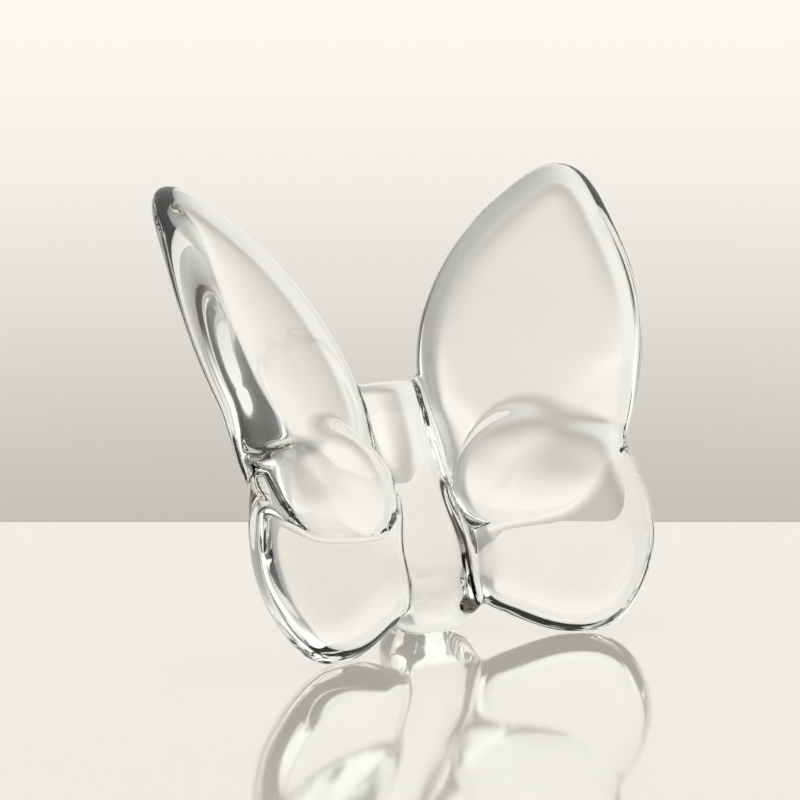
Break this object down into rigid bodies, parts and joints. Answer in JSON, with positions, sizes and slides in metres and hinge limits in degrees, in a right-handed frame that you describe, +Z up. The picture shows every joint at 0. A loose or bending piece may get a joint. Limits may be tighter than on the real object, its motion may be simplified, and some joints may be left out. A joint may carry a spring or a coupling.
{
  "type": "butterfly ornament",
  "caption": "Clear crystal butterfly ornament that stands on a ground base, with leaf-shaped fore wings and round hind wings open in a V.",
  "frame": {"origin": "middle of the ground base under the body", "axes": "+Z up, +X across the wings to the right seen from the front, -Y towards the front, the side that the open wings face; the object is mirror-symmetric about X=0"},
  "size_m": [0.0734, 0.0391, 0.065],
  "materials": {
    "crystal": "clear lead crystal, fire-polished, with a ground base"
  },
  "bodies": {
    "root": {"body": "crystal", "left_fore_wing": "crystal", "right_fore_wing": "crystal", "left_hind_wing": "crystal", "right_hind_wing": "crystal"}
  },
  "joints": []
}
